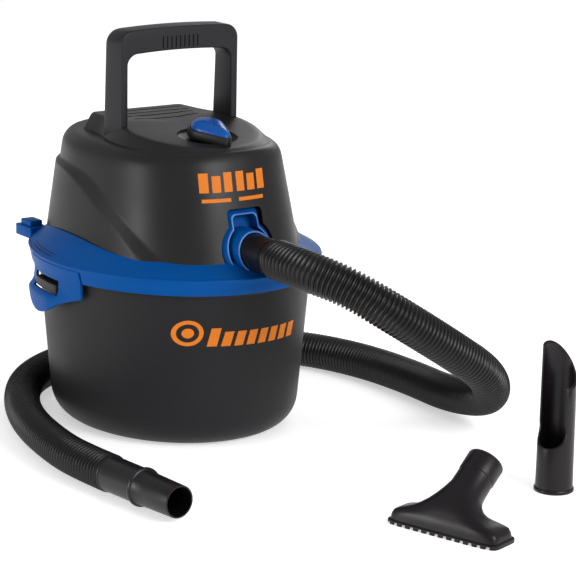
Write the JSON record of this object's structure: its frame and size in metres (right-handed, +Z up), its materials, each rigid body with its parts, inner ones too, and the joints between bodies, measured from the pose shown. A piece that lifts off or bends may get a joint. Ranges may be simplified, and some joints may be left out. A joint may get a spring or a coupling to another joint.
{
  "type": "shop vacuum",
  "caption": "Compact wet and dry shop vacuum: oval tank, latching motor head with retractable carrying handle, corrugated hose, crevice tool and utility nozzle.",
  "frame": {"origin": "centre of the tank's flat base, where it stands on the floor", "axes": "+Z up, -Y towards the hose port (front), +X to the right seen from the front"},
  "size_m": [0.4918, 0.7191, 0.4135],
  "materials": {
    "tank_black": "satin",
    "collar_blue": "satin",
    "cover_grey": "satin",
    "handle_grey": "satin",
    "knob_blue": "gloss",
    "black_plastic": "matte",
    "hose_black": "satin",
    "tool_black": "satin",
    "seal_rubber": "matte",
    "zinc_steel": "satin",
    "bright_aluminium": "satin",
    "core_steel": "satin",
    "copper": "satin",
    "brass": "satin",
    "foam": "matte",
    "white_plastic": "satin"
  },
  "bodies": {
    "tank": {"tank": "tank_black"},
    "lid": {"lid_collar": "collar_blue", "lid_gasket": "seal_rubber", "motor_cover": "cover_grey", "cover_screws": "zinc_steel", "exhaust_grille": "cover_grey", "cord_gland": "seal_rubber", "handle_guides": "cover_grey", "switch_body": "black_plastic", "motor_plate": "black_plastic", "plate_screws": "zinc_steel", "motor_mount_ring": "seal_rubber", "blower_housing": "bright_aluminium", "bearings": "zinc_steel", "motor_stator": "core_steel", "field_coils": "copper", "motor_top_bracket": "bright_aluminium", "brush_holders": "brass", "carbon_brushes": "black_plastic", "filter_cage": "black_plastic", "foam_filter": "foam", "retaining_band": "seal_rubber", "inlet_elbow": "black_plastic", "port_seal": "seal_rubber", "hose_cuff": "hose_black", "hose": "hose_black", "hose_end": "hose_black"},
    "handle": {"handle": "handle_grey"},
    "knob": {"knob_cap": "knob_blue", "knob_skirt": "black_plastic", "switch_shaft": "white_plastic"},
    "rotor": {"rotor_shaft": "zinc_steel", "impeller": "bright_aluminium", "impeller_nut": "zinc_steel", "armature": "core_steel", "commutator": "copper", "cooling_fan": "black_plastic"},
    "float": {"float_ball": "white_plastic"},
    "latch_left": {"latch_left": "collar_blue"},
    "latch_right": {"latch_right": "collar_blue"},
    "crevice_tool": {"crevice_tool": "tool_black"},
    "utility_nozzle": {"utility_nozzle": "tool_black"}
  },
  "joints": [
    {"name": "lid_lift", "type": "slide", "parent": "tank", "child": "lid", "axis": [0, 0, 1], "range_m": [0, 0.08]},
    {"name": "handle_slide", "type": "slide", "parent": "lid", "child": "handle", "axis": [0, 0, 1], "range_m": [-0.063, 0]},
    {"name": "power_knob", "type": "hinge", "parent": "lid", "child": "knob", "pos_m": [0, -0.062, 0.30762], "axis": [0, -0.124, 0.9923], "range_deg": [0, 90]},
    {"name": "rotor_spin", "type": "hinge", "parent": "lid", "child": "rotor", "pos_m": [0, 0, 0.25], "axis": [0, 0, 1], "continuous": true},
    {"name": "float_rise", "type": "slide", "parent": "lid", "child": "float", "axis": [0, 0, 1], "range_m": [0, 0.056]},
    {"name": "latch_left_flex", "type": "hinge", "parent": "lid", "child": "latch_left", "pos_m": [-0.1415, 0.0085, 0.179], "axis": [0, 1, 0], "range_deg": [0, 15], "stiffness_Nm_per_rad": 0.4},
    {"name": "latch_right_flex", "type": "hinge", "parent": "lid", "child": "latch_right", "pos_m": [0.1415, 0.0085, 0.179], "axis": [0, -1, 0], "range_deg": [0, 15], "stiffness_Nm_per_rad": 0.4},
    {"name": "crevice_tool_lift", "type": "slide", "parent": "tank", "child": "crevice_tool", "axis": [0, 0, 1], "range_m": [0, 0.1]},
    {"name": "utility_nozzle_lift", "type": "slide", "parent": "tank", "child": "utility_nozzle", "axis": [0, 0, 1], "range_m": [0, 0.1]}
  ]
}
